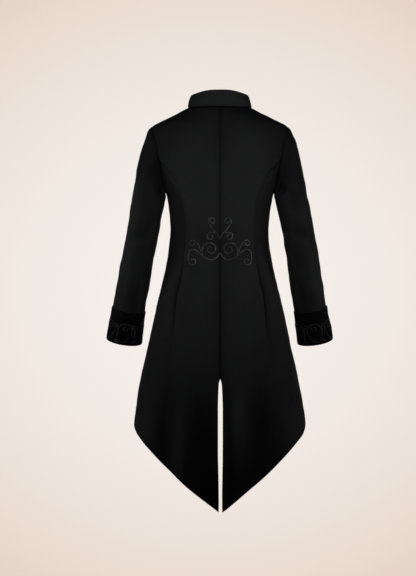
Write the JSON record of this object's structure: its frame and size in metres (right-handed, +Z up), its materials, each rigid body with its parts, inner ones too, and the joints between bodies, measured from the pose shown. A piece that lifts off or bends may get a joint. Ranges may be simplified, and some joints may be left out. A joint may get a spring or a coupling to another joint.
{
  "type": "tailcoat",
  "caption": "Fitted black tailcoat, hollow as worn, with a stand collar, princess seams, a centre vent, pointed tails and velvet turn-back cuffs.",
  "frame": {"origin": "middle of the neck opening, level with the shoulders' neck points, where the wearer's neck and shoulders hold the coat", "axes": "+Z up, -Y out of the coat's front, +Y out of its back, +X to the wearer's left"},
  "size_m": [0.6288, 0.3229, 1.131],
  "materials": {
    "black_cloth": "matte black wool suiting, fine twill",
    "black_velvet": "short-pile black velvet",
    "dark_button": "plain dark satin gloss"
  },
  "bodies": {
    "root": {"centre_back_left": "black_cloth", "centre_back_right": "black_cloth", "side_back_left": "black_cloth", "side_back_right": "black_cloth", "front_left": "black_cloth", "front_right": "black_cloth", "top_sleeve_left": "black_cloth", "top_sleeve_right": "black_cloth", "under_sleeve_left": "black_cloth", "under_sleeve_right": "black_cloth", "collar": "black_cloth", "cuff_left": "black_velvet", "cuff_right": "black_velvet", "button_1": "dark_button", "button_2": "dark_button", "button_3": "dark_button", "button_4": "dark_button", "button_5": "dark_button", "button_6": "dark_button"}
  },
  "joints": []
}
